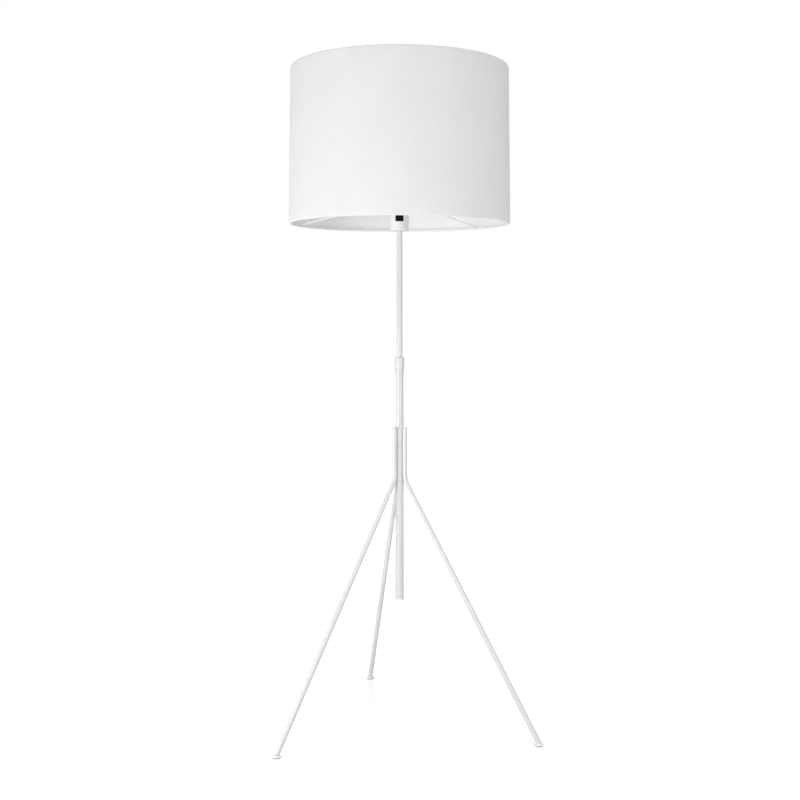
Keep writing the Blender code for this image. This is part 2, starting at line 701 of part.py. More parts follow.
def make_legs(paint, plastic, rubber):
    leg = leg_mesh()
    cap = leg_cap_mesh()
    foot = foot_mesh()
    pad = turned_mesh(
        "foot_pad",
        [(0, 0), (PAD_RADIUS, 0), (PAD_RADIUS, PAD_THICKNESS), (0, PAD_THICKNESS)],
        20,
    )
    for side, azimuth in LEG_AZIMUTHS.items():
        turn = radians(azimuth)
        upright, at_foot = leg_ends(side)
        place(f"leg_{side}", leg, paint, upright, turn)
        place(f"leg_cap_{side}", cap, plastic, upright, turn)
        place(f"foot_glide_{side}", foot, plastic, at_foot, turn)
        place(f"foot_pad_{side}", pad, rubber, at_foot, turn)


# --------------------------------------------------------------------------- build
def main():
    clear_scene()
    middle = outline_middle()
    lamp = bpy.data.objects.new("lamp", None)
    bpy.context.scene.collection.objects.link(lamp)
    lamp.location = (-middle[0], -middle[1], 0)

    paint = material("white_powder_coat", (0.83, 0.83, 0.83), 0.38)
    plastic = material("white_plastic", (0.80, 0.80, 0.80), 0.45)
    black = material("black_plastic", (0.012, 0.012, 0.013), 0.35)
    fabric = material("shade_fabric", (0.82, 0.82, 0.82), 0.90)
    wire = material("white_wire", (0.78, 0.78, 0.78), 0.45)
    steel = material("zinc_steel", (0.62, 0.62, 0.63), 0.35, 1.0)
    brass = material("brass", (0.72, 0.55, 0.27), 0.30, 1.0)
    nickel = material("nickel", (0.66, 0.65, 0.62), 0.25, 1.0)
    ceramic = material("porcelain", (0.80, 0.79, 0.76), 0.35)
    opal = material("opal_globe", (0.86, 0.86, 0.85), 0.30)
    rubber = material("foot_rubber", (0.030, 0.030, 0.032), 0.80)

    make_shade(fabric, wire)
    make_spider(wire)
    make_shade_nuts(plastic)
    make_lampholder_body(plastic)
    make_entry(steel)
    make_switch(black, steel)
    make_socket(ceramic, brass, steel)
    make_bulb(opal, plastic, nickel, black, brass)
    make_pole(paint, plastic)
    make_collar(paint, plastic)
    make_legs(paint, plastic, rubber)


main()
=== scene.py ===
"""Looks of the tripod floor lamp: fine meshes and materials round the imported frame.

Every length is in metres, in the frame's own axes: +Z up, -Y the front. Each piece is
modelled round the pole's axis, takes its place and size from the CAD node that it
stands for, and rides on that node's body.
"""

from collections import namedtuple
from math import asin, atan2, ceil, cos, hypot, pi, radians, sin, sqrt, tan

import bmesh
import bpy
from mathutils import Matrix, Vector


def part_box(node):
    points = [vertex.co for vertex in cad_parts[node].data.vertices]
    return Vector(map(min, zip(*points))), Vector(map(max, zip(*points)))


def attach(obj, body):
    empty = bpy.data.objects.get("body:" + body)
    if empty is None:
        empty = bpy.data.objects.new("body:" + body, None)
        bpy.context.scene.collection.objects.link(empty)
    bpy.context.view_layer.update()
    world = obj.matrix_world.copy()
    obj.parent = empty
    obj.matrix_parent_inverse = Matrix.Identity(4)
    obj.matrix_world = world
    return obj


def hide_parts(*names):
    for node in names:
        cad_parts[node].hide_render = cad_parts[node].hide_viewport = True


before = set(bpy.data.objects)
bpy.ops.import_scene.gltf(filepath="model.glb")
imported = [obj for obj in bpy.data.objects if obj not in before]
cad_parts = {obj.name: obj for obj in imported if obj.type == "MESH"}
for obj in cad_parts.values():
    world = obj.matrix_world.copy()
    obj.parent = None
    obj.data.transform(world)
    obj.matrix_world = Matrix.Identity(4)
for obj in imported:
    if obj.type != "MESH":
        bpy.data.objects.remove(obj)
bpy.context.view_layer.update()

# ------------------------ sizes not in the frame
CLOTH = 0.00035  # thickness of the shade's woven cloth
LINER = 0.00030  # thickness of the plastic sheet it is laminated on
RIM_INSET = 0.0026  # from the drum's face to the middle of its rim wire
HEM_HEIGHT = 0.0085  # how far the cloth is turned in past the wire
LAP = 0.0120  # how far the cloth's two ends overlap
LAP_AZIMUTH = 90  # the overlap is at the back
RIM_WIRE = 0.0015
ARM_WIRE = 0.0016
ARM_BEND = 0.0080
HOLDER_WALL = 0.0020
HOLDER_FLOOR = 0.0025
WINDOW_WIDTH = 0.0160
WINDOW_BAND = 0.0012  # the plain ring of wall above and below the window
ROCKER_HALF_WIDTH = 0.0076
ROCKER_HOLLOW = 0.0007  # how deep its face is dished
ROCKER_LEAN = -7  # degrees, at rest against one stop
ROCKER_MARGIN = 0.0004  # between the rocker's ends and its window
UPPER_WALL = 0.0010
LOWER_WALL = 0.0012
LEG_RADIUS = 0.0050
LEG_WALL = 0.0010
LEG_STRAIGHT = 0.0955  # the upright length, down from the leg's top
LEG_BEND = 0.0480
SEAM_LENGTH = 0.0160
SEAM_FROM_END = 0.0060  # from the leg's top to the upper seam
SEAM_FROM_BEND = 0.0040  # from the leg's bend to the lower one
FOOT_EDGE = 0.0010  # the height of the glide's rim
TOUCH_GAP = 0.0003  # between pieces that touch
E27_PITCH = 0.003629
SHELL_PITCH = 0.0025
THREAD_DEPTH = 0.0007
SHELL_THREAD_DEPTH = 0.0005
GLOBE_WALL = 0.0010

# ------------------------ the camera
CAMERA_BACK = 2.3984  # in front of the pole
CAMERA_SIDE = 0.0009
CAMERA_HEIGHT = 0.8587
CAMERA_LOOKS_DOWN = 4.223  # degrees
CAMERA_LENS = 52.434  # millimetres, on a sensor 36 mm wide

Span = namedtuple("Span", "x y radius low high")


def span(node):
    """A round CAD node's axis, radius, and lowest and highest z."""
    low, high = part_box(node)
    middle = (low + high) / 2
    return Span(middle.x, middle.y, (high.x - low.x) / 2, low.z, high.z)


POLE = span("lower_tube")


# ------------------------ mesh building
def smooth(mesh, sharp_from=40):
    """Smooth shading, but for edges sharper than sharp_from degrees."""
    mesh.shade_smooth()
    mesh.set_sharp_from_angle(angle=radians(sharp_from))
    return mesh


def solid(name, points, faces, sharp_from=40):
    """A closed mesh with its faces out."""
    mesh = bpy.data.meshes.new(name)
    mesh.from_pydata(points, [], faces)
    bm = bmesh.new()
    bm.from_mesh(mesh)
    bmesh.ops.recalc_face_normals(bm, faces=bm.faces)
    if bm.calc_volume(signed=True) < 0:
        bmesh.ops.reverse_faces(bm, faces=bm.faces)
    bm.to_mesh(mesh)
    bm.free()
    return smooth(mesh, sharp_from)


def skin(name, rings, sharp_from=40):
    """A closed surface through rings of points, where a ring of one point is a tip."""
    points = []
    loops = []
    for ring in rings:
        loops.append(range(len(points), len(points) + len(ring)))
        points += ring
    faces = []
    for a, b in zip(loops, loops[1:] + loops[:1]):
        count = max(len(a), len(b))
        for here in range(count if count > 1 else 0):
            after = here + 1
            corners = (a[here % len(a)], a[after % len(a)], b[after % len(b)], b[here % len(b)])
            faces.append(list(dict.fromkeys(corners)))
    return solid(name, points, faces, sharp_from)


def turned(name, profile, sides=96, shape=None, sharp_from=40):
    """(radius, z) points turned about Z. shape(angle, radius, z) gives a new radius."""
    rings = []
    for radius, z in profile:
        if radius < 1e-6:
            rings.append([(0.0, 0.0, z)])
            continue
        ring = []
        for step in range(sides):
            angle = 2 * pi * step / sides
            reach = shape(angle, radius, z) if shape else radius
            ring.append((reach * cos(angle), reach * sin(angle), z))
        rings.append(ring)
    return skin(name, rings, sharp_from)


def arc(centre, radius, start, end, steps):
    """Points on an arc in the (radius, z) plane, from one angle in degrees to another."""
    angles = [radians(start + (end - start) * step / steps) for step in range(steps + 1)]
    return [(centre[0] + radius * cos(a), centre[1] + radius * sin(a)) for a in angles]


def filleted(corners, steps=4):
    """A closed outline through (a, b, fillet) corners, with each corner rounded off."""
    outline = []
    for index, (a, b, fillet) in enumerate(corners):
        here = Vector((a, b))
        if not fillet:
            outline.append((a, b))
            continue
        before = (Vector(corners[index - 1][:2]) - here).normalized()
        after = (Vector(corners[(index + 1) % len(corners)][:2]) - here).normalized()
        half = before.angle(after) / 2
        centre = here + (before + after).normalized() * (fillet / sin(half))
        first = here + before * (fillet / tan(half)) - centre
        last = here + after * (fillet / tan(half)) - centre
        start = atan2(first.y, first.x)
        turn = (atan2(last.y, last.x) - start + pi) % (2 * pi) - pi
        for step in range(steps + 1):
            angle = start + turn * step / steps
            outline.append((centre.x + fillet * cos(angle), centre.y + fillet * sin(angle)))
    return outline


def pipe(inner, outer, low, high, edge):
    """A tube's (radius, z) outline with its four edges rounded."""
    corners = [(outer, high, edge), (outer, low, edge), (inner, low, edge), (inner, high, edge)]
    return filleted(corners)


def stops(start, end, step):
    """Evenly spaced values from start to end, at most step apart."""
    count = max(1, ceil(abs(end - start) / step))
    return [start + (end - start) * index / count for index in range(count + 1)]


def prism(name, outline, low, high, hole=None, edge=0.0):
    """An (x, y) outline raised from low to high, with a hole and with rounded edges."""
    bm = bmesh.new()
    edges = []
    for loop in [outline] + ([hole] if hole else []):
        points = [bm.verts.new((x, y, low)) for x, y in loop]
        edges += [bm.edges.new(pair) for pair in zip(points, points[1:] + points[:1])]
    bmesh.ops.triangle_fill(bm, edges=edges, use_beauty=True)
    raised = bmesh.ops.extrude_face_region(bm, geom=list(bm.faces))
    moved = [item for item in raised["geom"] if isinstance(item, bmesh.types.BMVert)]
    bmesh.ops.translate(bm, verts=moved, vec=(0, 0, high - low))
    bmesh.ops.recalc_face_normals(bm, faces=bm.faces)
    if edge:
        shared = [e for e in bm.edges if len(e.link_faces) == 2]
        rims = [e for e in shared if e.calc_face_angle() > radians(60)]
        bmesh.ops.bevel(bm, geom=rims, offset=edge, segments=3, profile=0.5, affect="EDGES")
    mesh = bpy.data.meshes.new(name)
    bm.to_mesh(mesh)
    bm.free()
    return smooth(mesh)


def circle(radius, sides):
    """(x, y) points round the middle."""
    angles = [2 * pi * step / sides for step in range(sides)]
    return [(radius * cos(a), radius * sin(a)) for a in angles]


def leaning_ring(x, z, lean, radius, across, sides):
    """A ring round a line in the XZ plane that leans out from straight down."""
    ring = []
    for step in range(sides):
        angle = 2 * pi * step / sides
        along = radius * cos(angle)
        ring.append((x + along * cos(lean), across * sin(angle), z + along * sin(lean)))
    return ring


def new_object(name, data):
    """An object in the scene."""
    made = bpy.data.objects.new(name, data)
    bpy.context.scene.collection.objects.link(made)
    return made


def cut_out(obj, cutter_mesh):
    """Cuts a mesh out of obj for good, and removes the cutter."""
    cutter = new_object("cutter", cutter_mesh)
    modifier = obj.modifiers.new("cut", "BOOLEAN")
    modifier.operation = "DIFFERENCE"
    modifier.solver = "EXACT"
    modifier.object = cutter
    graph = bpy.context.evaluated_depsgraph_get()
    result = bpy.data.meshes.new_from_object(obj.evaluated_get(graph))
    obj.modifiers.clear()
    obj.data = result
    bpy.data.objects.remove(cutter)
    smooth(result)


# ------------------------ materials
def node(tree, kind, inputs=None, **settings):
    """A shader node with its settings, and with each input a value or another socket."""
    made = tree.nodes.new(kind)
    for key, value in settings.items():
        setattr(made, key, value)
    for key, value in (inputs or {}).items():
        if isinstance(value, bpy.types.NodeSocket):
            tree.links.new(value, made.inputs[key])
        else:
            made.inputs[key].default_value = value
    return made


def calc(tree, operation, *values):
    """A Math node's result."""
    return node(tree, "ShaderNodeMath", dict(enumerate(values)), operation=operation).outputs[0]


def noise(tree, where, scale, detail=2.0, rough=0.5):
    """Noise whose grains are about 1 / scale metres apart."""
    inputs = {"Vector": where, "Scale": scale, "Detail": detail, "Roughness": rough}
    return node(tree, "ShaderNodeTexNoise", inputs).outputs[0]


def stretched(tree, where, by):
    """The same place with each axis scaled, which draws a pattern out along one of them."""
    inputs = {"Vector": where, "Scale": by}
    return node(tree, "ShaderNodeMapping", inputs).outputs[0]


def spread(tree, value, low, high, start=0.3, end=0.7):
    """A value from start to end, turned into one from low to high."""
    inputs = {"Value": value, "From Min": start, "From Max": end, "To Min": low, "To Max": high}
    return node(tree, "ShaderNodeMapRange", inputs).outputs[0]


def mix_colours(tree, value, dark, light, start=0.3, end=0.7):
    """A colour from dark to light, as a value goes from start to end."""
    mix = node(tree, "ShaderNodeMix", data_type="RGBA")
    colours = [socket for socket in mix.inputs if socket.type == "RGBA"]
    colours[0].default_value = (*dark, 1.0)
    colours[1].default_value = (*light, 1.0)
    tree.links.new(spread(tree, value, 0, 1, start, end), mix.inputs[0])
    return [socket for socket in mix.outputs if socket.type == "RGBA"][0]


def bumped(tree, height, depth, below=None):
    """A normal from a height between 0 and 1 that stands for depth metres."""
    inputs = {"Height": height, "Distance": depth, "Strength": 1.0}
    if below is not None:
        inputs["Normal"] = below
    return node(tree, "ShaderNodeBump", inputs).outputs[0]


def finish(name, metallic=0.0, **even):
    """A new material, its tree and shader, and the point on the object in metres."""
    made = bpy.data.materials.new(name)
    made.use_nodes = True
    shader = made.node_tree.nodes["Principled BSDF"]
    shader.inputs["Metallic"].default_value = metallic
    for socket, value in even.items():
        shader.inputs[socket.replace("_", " ")].default_value = value
    where = node(made.node_tree, "ShaderNodeTexCoord").outputs["Object"]
    return made, made.node_tree, shader, where


def link_looks(tree, shader, colour, roughness, normal):
    """Links the three sockets that every finish varies."""
    tree.links.new(colour, shader.inputs["Base Color"])
    tree.links.new(roughness, shader.inputs["Roughness"])
    tree.links.new(normal, shader.inputs["Normal"])


def powder_coat():
    """Satin white powder coat, with a faint orange peel about 2 mm across."""
    made, tree, shader, where = finish("lamp_powder_coat", Specular_IOR_Level=0.85)
    cloudy = noise(tree, where, 22, 3)
    colour = mix_colours(tree, cloudy, (0.725, 0.725, 0.725), (0.75, 0.75, 0.745))
    roughness = spread(tree, noise(tree, where, 160, 2), 0.31, 0.36)
    peel = bumped(tree, noise(tree, where, 450, 1), 0.000008)
    link_looks(tree, shader, colour, roughness, peel)
    return made


def white_plastic():
    """Satin moulded plastic: spark-eroded grain and a faint unevenness."""
    made, tree, shader, where = finish("lamp_white_plastic")
    cloudy = noise(tree, where, 60, 2)
    colour = mix_colours(tree, cloudy, (0.77, 0.77, 0.765), (0.81, 0.81, 0.805))
    roughness = spread(tree, noise(tree, where, 900, 3), 0.38, 0.52)
    grain = bumped(tree, noise(tree, where, 2600, 3), 0.00003)
    link_looks(tree, shader, colour, roughness, grain)
    return made


def foot_plastic():
    """The soft, milk-white plastic of the glides, rubbed a little matt by floors."""
    made, tree, shader, where = finish("lamp_foot_plastic")
    rubbed = noise(tree, where, 300, 4, 0.6)
    colour = mix_colours(tree, rubbed, (0.91, 0.91, 0.905), (0.95, 0.95, 0.945))
    roughness = spread(tree, rubbed, 0.38, 0.56)
    scratches = bumped(tree, noise(tree, where, 1500, 3), 0.00001)
    link_looks(tree, shader, colour, roughness, scratches)
    return made


def black_plastic():
    """Black moulded plastic with a fine grain and a little dust in it."""
    made, tree, shader, where = finish("lamp_black_plastic", Specular_IOR_Level=0.08)
    dust = noise(tree, where, 1400, 4, 0.65)
    colour = mix_colours(tree, dust, (0.004, 0.004, 0.004), (0.010, 0.010, 0.010), 0.45, 0.8)
    roughness = spread(tree, noise(tree, where, 700, 3), 0.30, 0.44)
    grain = bumped(tree, noise(tree, where, 3000, 2), 0.00002)
    link_looks(tree, shader, colour, roughness, grain)
    return made


def shade_cloth(middle_radius):
    """Plain weave, threads 0.5 mm apart round the drum, with slubs along the threads."""
    made, tree, shader, where = finish("lamp_shade_cloth", Specular_IOR_Level=0.2)
    axes = node(tree, "ShaderNodeSeparateXYZ", {"Vector": where}).outputs
    turn = calc(tree, "ARCTAN2", axes["X"], calc(tree, "MULTIPLY", axes["Y"], -1.0))
    round_it = calc(tree, "MULTIPLY", turn, middle_radius)
    thread = 0.0005
    per_metre = pi / thread
    warp = calc(tree, "SINE", calc(tree, "MULTIPLY", round_it, per_metre))
    weft = calc(tree, "SINE", calc(tree, "MULTIPLY", axes["Z"], per_metre))
    cells = calc(tree, "ABSOLUTE", calc(tree, "MULTIPLY", warp, weft))
    flat = node(tree, "ShaderNodeCombineXYZ", {"X": round_it, "Y": axes["Z"]}).outputs[0]
    across = noise(tree, stretched(tree, flat, (26, 1900, 1)), 1, 2)
    upright = noise(tree, stretched(tree, flat, (1900, 26, 1)), 1, 2)
    slubs = calc(tree, "MULTIPLY", calc(tree, "ADD", across, upright), 0.5)
    cloudy = noise(tree, where, 16, 3)
    parts = (calc(tree, "MULTIPLY", slubs, 0.7), calc(tree, "MULTIPLY", cloudy, 0.3))
    patchy = calc(tree, "ADD", *parts)
    colour = mix_colours(tree, patchy, (0.775, 0.775, 0.770), (0.845, 0.845, 0.840))
    roughness = spread(tree, cells, 0.80, 0.95, 0, 1)
    weave = bumped(tree, calc(tree, "POWER", cells, 0.6), 0.00006)
    uneven = bumped(tree, slubs, 0.00008, weave)
    link_looks(tree, shader, colour, roughness, uneven)
    return made


def shade_liner():
    """The white plastic sheet inside the drum: smooth, with faint rolling marks."""
    made, tree, shader, where = finish("lamp_shade_liner")
    marks = noise(tree, stretched(tree, where, (60, 60, 4)), 1, 3)
    colour = mix_colours(tree, marks, (0.80, 0.80, 0.80), (0.83, 0.83, 0.83))
    roughness = spread(tree, noise(tree, where, 300, 2), 0.48, 0.60)
    ripple = bumped(tree, noise(tree, stretched(tree, where, (35, 35, 9)), 1, 2), 0.0002)
    link_looks(tree, shader, colour, roughness, ripple)
    return made


def painted_wire():
    """White dipped paint on wire: soft runs and small pinholes."""
    made, tree, shader, where = finish("lamp_painted_wire")
    thick = noise(tree, where, 240, 3)
    colour = mix_colours(tree, thick, (0.84, 0.84, 0.835), (0.88, 0.88, 0.875))
    roughness = spread(tree, noise(tree, where, 500, 2), 0.36, 0.52)
    runs = bumped(tree, thick, 0.00012)
    link_looks(tree, shader, colour, roughness, runs)
    return made


def zinc():
    """Bright zinc plate: a fine crystal pattern and drawn scratches."""
    made, tree, shader, where = finish("lamp_zinc", 1.0)
    inputs = {"Vector": where, "Scale": 900.0}
    crystals = node(tree, "ShaderNodeTexVoronoi", inputs).outputs["Distance"]
    colour = mix_colours(tree, crystals, (0.52, 0.53, 0.55), (0.68, 0.68, 0.69), 0, 1)
    roughness = spread(tree, noise(tree, where, 420, 4), 0.24, 0.44)
    scratches = noise(tree, stretched(tree, where, (4200, 4200, 300)), 1, 2)
    link_looks(tree, shader, colour, roughness, bumped(tree, scratches, 0.00001))
    return made


def brass():
    """Drawn brass with a little tarnish."""
    made, tree, shader, where = finish("lamp_brass", 1.0)
    tarnish = noise(tree, where, 130, 5, 0.6)
    colour = mix_colours(tree, tarnish, (0.52, 0.36, 0.16), (0.76, 0.58, 0.29))
    roughness = spread(tree, tarnish, 0.40, 0.24)
    drawn = noise(tree, stretched(tree, where, (3600, 3600, 200)), 1, 2)
    link_looks(tree, shader, colour, roughness, bumped(tree, drawn, 0.00001))
    return made


def nickel():
    """Nickel plate with the fine rings that thread rolling leaves."""
    made, tree, shader, where = finish("lamp_nickel", 1.0)
    patches = noise(tree, where, 170, 4)
    colour = mix_colours(tree, patches, (0.58, 0.57, 0.54), (0.69, 0.68, 0.65))
    roughness = spread(tree, patches, 0.32, 0.18)
    rings = noise(tree, stretched(tree, where, (150, 150, 5200)), 1, 2)
    link_looks(tree, shader, colour, roughness, bumped(tree, rings, 0.00001))
    return made


def porcelain():
    """Glazed porcelain: off-white, with waves and pinholes in the glaze."""
    made, tree, shader, where = finish("lamp_porcelain", Coat_Weight=0.6, Coat_Roughness=0.12)
    cloudy = noise(tree, where, 90, 4)
    colour = mix_colours(tree, cloudy, (0.74, 0.73, 0.69), (0.82, 0.81, 0.78))
    roughness = spread(tree, noise(tree, where, 400, 3), 0.28, 0.42)
    waves = bumped(tree, noise(tree, where, 260, 3), 0.00008)
    link_looks(tree, shader, colour, roughness, waves)
    return made


def opal():
    """Opal polycarbonate: milky white, with a frosted surface."""
    made, tree, shader, where = finish("lamp_opal", IOR=1.58)
    cloudy = noise(tree, where, 45, 2)
    colour = mix_colours(tree, cloudy, (0.86, 0.86, 0.85), (0.90, 0.90, 0.89))
    roughness = spread(tree, noise(tree, where, 1200, 2), 0.30, 0.40)
    frost = bumped(tree, noise(tree, where, 2400, 2), 0.00001)
    link_looks(tree, shader, colour, roughness, frost)
    return made


def rubber():
    """Black rubber, scuffed grey where it drags on floors; under each foot its black also paints
    the dark line of contact shadow at the floor.
    """
    made, tree, shader, where = finish("lamp_rubber_contact_shade")
    scuffs = noise(tree, where, 520, 5, 0.65)
    colour = mix_colours(tree, scuffs, (0.020, 0.020, 0.021), (0.070, 0.069, 0.067), 0.45, 0.75)
    roughness = spread(tree, scuffs, 0.70, 0.92)
    grain = bumped(tree, noise(tree, where, 1800, 3), 0.00006)
    link_looks(tree, shader, colour, roughness, grain)
    return made


FINISHES = {
    "white_powder_coat": powder_coat(),
    "white_plastic": white_plastic(),
    "black_plastic": black_plastic(),
    "shade_fabric": shade_cloth(span("shade_skin").radius),
    "white_wire": painted_wire(),
    "zinc_steel": zinc(),
    "brass": brass(),
    "nickel": nickel(),
    "porcelain": porcelain(),
    "opal_globe": opal(),
    "foot_rubber": rubber(),
}


def add(name, mesh, body, slot, stands_for=(), at=None, turn=0.0, look=None):
    """A named piece that rides on a body, in its slot's finish or in another look."""
    piece = new_object(name, mesh)
    piece.location = at or (POLE.x, POLE.y, 0)
    piece.rotation_euler.z = turn
    if not mesh.materials:
        mesh.materials.append(look or FINISHES[slot])
    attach(piece, body)
    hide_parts(*stands_for)
    return piece


def add_turned(name, profile, body, slot, node_name, sides=96, shape=None, **rest):
    """A turned piece that stands for one CAD node."""
    return add(name, turned(name, profile, sides, shape), body, slot, [node_name], **rest)


# ------------------------ the shade
SHADE = span("shade_skin")
SHADE_TOP_RADIUS = span("shade_top_ring").radius + RIM_INSET - RIM_WIRE


def drum_radius(z):
    """The drum's outer radius, which narrows a little towards the top."""
    share = (z - SHADE.low) / (SHADE.high - SHADE.low)
    return SHADE.radius + (SHADE_TOP_RADIUS - SHADE.radius) * share


def slack(angle, z):
    """How far the cloth stands off a true drum: a few broad, shallow waves."""
    broad = sin(5 * angle + 9 * z) + 0.6 * sin(11 * angle - 14 * z + 1.3)
    return 0.00013 * (broad + 0.4 * sin(23 * angle + 31 * z))


def slackened(angle, radius, z):
    """The shape of what lies against the cloth, for turned()."""
    return radius + slack(angle, z)


def cloth_line():
    """The cloth's middle line in the (radius, z) plane, from its bottom hem to its top."""
    roll = RIM_INSET - CLOTH / 2
    low = (SHADE.radius - RIM_INSET, SHADE.low + RIM_INSET)
    high = (SHADE_TOP_RADIUS - RIM_INSET, SHADE.high - RIM_INSET)
    hem_steps = 8
    line = []
    for wire, up in ((low, 1), (high, -1)):
        hem = []
        for step in range(hem_steps, 0, -1):
            share = step / hem_steps
            z = wire[1] + up * HEM_HEIGHT * share
            against = drum_radius(z) - 1.7 * CLOTH - LINER - CLOTH / 2
            ease = min(1.0, share * 1.7)
            ease = ease * ease * (3 - 2 * ease)
            near = wire[0] - roll
            hem.append((near + (against - near) * ease, z))
        around = arc(wire, roll, 180, 180 + 180 * up, 10)
        if up == 1:
            line = hem + around
            for z in stops(low[1], high[1], 0.012)[1:-1]:
                line.append((drum_radius(z) - CLOTH / 2, z))
        else:
            line += around[::-1] + hem[::-1]
    return line


def normals_of(line):
    """Unit normals to the right of a line, one at each of its points."""
    found = []
    for index in range(len(line)):
        before = line[max(index - 1, 0)]
        after = line[min(index + 1, len(line) - 1)]
        across = after[0] - before[0]
        up = after[1] - before[1]
        length = hypot(across, up)
        found.append((up / length, -across / length))
    return found


def make_cloth():
    """One strip of cloth round the drum, hemmed over both wires, its ends overlapping."""
    line = cloth_line()
    normals = normals_of(line)
    lap = LAP / SHADE.radius
    ramp = 0.020
    angles = stops(0, 2 * pi - ramp, radians(1.5))
    angles += stops(2 * pi - ramp, 2 * pi, ramp / 8)[1:] + stops(2 * pi, 2 * pi + lap, lap / 5)[1:]
    points = []
    for angle in angles:
        share = min(1.0, max(0.0, (angle - 2 * pi + ramp) / ramp))
        lift = (CLOTH + 0.0001) * share * share * (3 - 2 * share)
        facing = angle + radians(LAP_AZIMUTH)
        for side in (0.5, -0.5):
            for (radius, z), (right, up) in zip(line, normals):
                off = lift + side * CLOTH
                reach = radius + right * off + slack(facing, z)
                points.append((reach * cos(facing), reach * sin(facing), z + up * off))
    count = len(line)
    faces = []
    for row in range(len(angles) - 1):
        here = row * 2 * count
        after = here + 2 * count
        for step in range(count - 1):
            faces.append((here + step, after + step, after + step + 1, here + step + 1))
            back = count + step
            faces.append((here + back, here + back + 1, after + back + 1, after + back))
        for edge in (0, count - 1):
            faces.append((here + edge, after + edge, after + count + edge, here + count + edge))
    for end in (0, (len(angles) - 1) * 2 * count):
        for step in range(count - 1):
            faces.append((end + step, end + step + 1, end + count + step + 1, end + count + step))
    mesh = solid("shade_cloth", points, faces, 50)
    cloth = add("shade_cloth", mesh, "head", "shade_fabric", ["shade_skin"])


def make_liner():
    """The plastic sheet inside the cloth, its edges under the hems."""
    out = CLOTH * 1.3
    heights = stops(SHADE.low + RIM_INSET * 2, SHADE.high - RIM_INSET * 2, 0.015)
    outside = [(drum_radius(z) - out, z) for z in heights]
    inside = [(drum_radius(z) - out - LINER, z) for z in reversed(heights)]
    name = "shade_liner"
    look = shade_liner()
    both = outside + inside
    add_turned(name, both, "head", "shade_fabric", "shade_skin", 240, slackened, look=look)


def make_rim_wires():
    """The round wires in the shade's two rolled edges."""
    for name, node_name in (
        ("rim_wire_bottom", "shade_bottom_ring"),
        ("rim_wire_top", "shade_top_ring"),
    ):
        ring = span(node_name)
        centre = (ring.radius - RIM_WIRE, (ring.low + ring.high) / 2)
        section = arc(centre, RIM_WIRE, 0, 330, 11)
        add_turned(name, section, "head", "white_wire", node_name, 240, slackened)


def blob(x, z, wide, tall, sides=16, tiers=8):
    """The rings of a small, slightly lumpy weld bead, lying along the X axis."""
    rings = []
    for tier in range(tiers + 1):
        angle = pi * tier / tiers
        along = x - wide * cos(angle)
        size = sin(angle)
        if size < 1e-6:
            rings.append([(along, 0.0, z)])
            continue
        ring = []
        for step in range(sides):
            turn = 2 * pi * step / sides
            reach = size * (1 + 0.06 * sin(3 * turn + 5 * angle))
            ring.append((along, wide * reach * cos(turn), z + tall * reach * sin(turn)))
        rings.append(ring)
    return rings


def joined(name, meshes):
    """Several closed meshes as one mesh of separate shells."""
    bm = bmesh.new()
    for mesh in meshes:
        bm.from_mesh(mesh)
    made = bpy.data.meshes.new(name)
    bm.to_mesh(made)
    bm.free()
    return smooth(made)


def arm_path(start, knee, end):
    """(x, z, lean) along an arm: up from the rim at start, round the knee, in to end."""
    lean = atan2(end[1] - start[1], start[0] - knee)
    bend_radius = ARM_BEND / tan(lean / 2)
    bend_x = knee + ARM_BEND * cos(lean)
    bend_z = end[1] - ARM_BEND * sin(lean)
    path = []
    for share in stops(0, 1, 1 / 14)[:-1]:
        x = start[0] + (bend_x - start[0]) * share
        z = start[1] + (bend_z - start[1]) * share
        path.append((x, z, lean))
    for share in stops(0, 1, 1 / 6):
        here = lean * (1 - share)
        x = knee - ARM_BEND + bend_radius * sin(here)
        path.append((x, end[1] - bend_radius * (1 - cos(here)), here))
    path.append((*end, 0.0))
    return path


def make_spider():
    """The washer between the ring nuts, and its three wire arms with their welds."""
    hub = span("spider_hub")
    bore = span("lampholder_shell").radius + 0.0024
    profile = pipe(bore, hub.radius, hub.low, hub.high, 0.0005)
    add_turned("spider_washer", profile, "head", "white_wire", "spider_hub")
    hub_z = (hub.low + hub.high) / 2
    for number in (1, 2, 3):
        low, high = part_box(f"spider_arm_{number}")
        middle = (low + high) / 2
        azimuth = atan2(middle.y - POLE.y, middle.x - POLE.x)
        start = (SHADE.radius - 2 * CLOTH - LINER - ARM_WIRE, low.z + ARM_WIRE)
        path = arm_path(start, hub.radius + ARM_BEND, (hub.radius - 0.0002, hub_z))
        rings = [[(path[0][0], 0.0, path[0][1])]]
        for x, z, here in path:
            rings.append(leaning_ring(x, z, pi / 2 - here, ARM_WIRE, ARM_WIRE, 20))
        rings.append([(path[-1][0], 0.0, path[-1][1])])
        wire = skin("wire", rings, 60)
        weld = skin("weld", blob(hub.radius + 0.0006, hub_z - 0.0003, 0.0028, 0.0021))
        name = f"spider_wire_{number}"
        mesh = joined(name, [wire, weld])
        add(name, mesh, "head", "white_wire", [f"spider_arm_{number}"], turn=azimuth)


